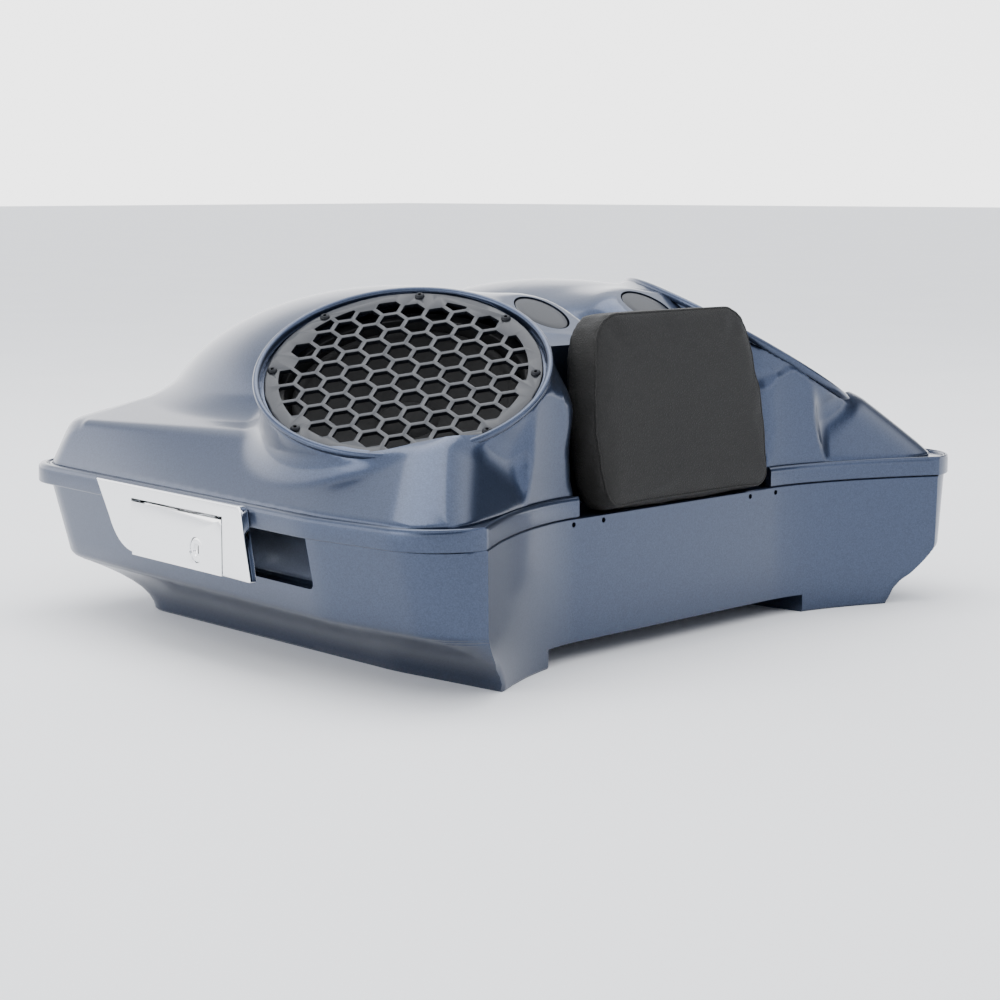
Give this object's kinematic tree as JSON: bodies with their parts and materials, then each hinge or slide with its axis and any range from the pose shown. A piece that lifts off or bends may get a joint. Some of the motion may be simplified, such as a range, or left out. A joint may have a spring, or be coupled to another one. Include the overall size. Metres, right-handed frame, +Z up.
{
  "type": "motorcycle touring trunk",
  "caption": "Touring trunk for a motorcycle rack: side-hinged lid with speaker pods behind hexagon grilles, chrome paddle latch with a key lock, and a padded backrest on the tub.",
  "frame": {"origin": "under the middle of the trunk, on the surface its runners stand on", "axes": "+X across the trunk towards the hinged side, -X is the latch side; -Y is the side of the backrest, +Y the rear; +Z up"},
  "size_m": [0.636, 0.532, 0.2636],
  "materials": {
    "paint": "metallic blue-grey gloss paint on moulded ABS",
    "chrome": "mirror chrome plating",
    "steel": "zinc-plated steel",
    "black_plastic": "black moulded plastic",
    "rubber": "black rubber",
    "vinyl": "charcoal grained vinyl over foam",
    "cone_paper": "matt black speaker cone"
  },
  "bodies": {
    "tub": {"tub_shell": "paint", "tub_seal": "rubber", "floor_mat": "rubber", "mount_plate": "steel", "mount_bolt_1": "steel", "mount_bolt_2": "steel", "mount_bolt_3": "steel", "mount_bolt_4": "steel", "mount_nut_1": "steel", "mount_nut_2": "steel", "mount_nut_3": "steel", "mount_nut_4": "steel", "backrest_bracket": "steel", "backrest_board": "black_plastic", "backrest_pad": "vinyl", "backrest_bolt_1": "steel", "backrest_bolt_2": "steel", "striker": "steel", "hinge_1_tub_leaf": "chrome", "hinge_2_tub_leaf": "chrome", "hinge_1_pin": "steel", "hinge_2_pin": "steel"},
    "lid": {"lid_shell": "paint", "grille_left": "paint", "grille_right": "paint", "grille_screw_left_1": "steel", "grille_screw_left_2": "steel", "grille_screw_left_3": "steel", "grille_screw_left_4": "steel", "grille_screw_left_5": "steel", "grille_screw_left_6": "steel", "grille_screw_left_7": "steel", "grille_screw_left_8": "steel", "grille_screw_right_1": "steel", "grille_screw_right_2": "steel", "grille_screw_right_3": "steel", "grille_screw_right_4": "steel", "grille_screw_right_5": "steel", "grille_screw_right_6": "steel", "grille_screw_right_7": "steel", "grille_screw_right_8": "steel", "speaker_frame_left": "black_plastic", "speaker_frame_right": "black_plastic", "blanking_plug_left": "paint", "blanking_plug_right": "paint", "hinge_1_lid_leaf": "chrome", "hinge_2_lid_leaf": "chrome", "latch_cover": "chrome", "latch_base": "steel", "paddle_pin": "steel", "catch_pin": "steel", "catch_spring": "steel"},
    "paddle": {"latch_paddle": "chrome"},
    "lock": {"lock_cylinder": "chrome"},
    "catch": {"latch_catch": "steel"},
    "cone_left": {"speaker_cone_left": "cone_paper"},
    "cone_right": {"speaker_cone_right": "cone_paper"}
  },
  "joints": [
    {"name": "lid_hinge", "type": "hinge", "parent": "tub", "child": "lid", "pos_m": [0.30706, -0.02371, 0.104], "axis": [-0.1616, 0.9869, 0], "range_deg": [0, 80]},
    {"name": "paddle_pull", "type": "hinge", "parent": "lid", "child": "paddle", "pos_m": [-0.29572, 0.01409, 0.103], "axis": [0.1616, 0.9869, 0], "range_deg": [0, 35], "stiffness_Nm_per_rad": 0.5, "springref_deg": -9.74},
    {"name": "key_turn", "type": "hinge", "parent": "paddle", "child": "lock", "pos_m": [-0.29794, -0.01493, 0.081], "axis": [-0.9869, 0.1616, 0], "range_deg": [0, 90]},
    {"name": "catch_swing", "type": "hinge", "parent": "lid", "child": "catch", "pos_m": [-0.28445, 0.01174, 0.092], "axis": [0.1616, 0.9869, 0], "range_deg": [0, 15.5], "stiffness_Nm_per_rad": 0.1},
    {"name": "cone_left_throw", "type": "slide", "parent": "lid", "child": "cone_left", "axis": [-0.3999, -0.2919, 0.8688], "range_m": [-0.004, 0.004], "stiffness_N_per_m": 3000},
    {"name": "cone_right_throw", "type": "slide", "parent": "lid", "child": "cone_right", "axis": [0.3999, -0.2919, 0.8688], "range_m": [-0.004, 0.004], "stiffness_N_per_m": 3000}
  ],
  "couplings": [
    {"joint": "catch_swing", "follows": "paddle_pull", "ratio": 0.43}
  ]
}
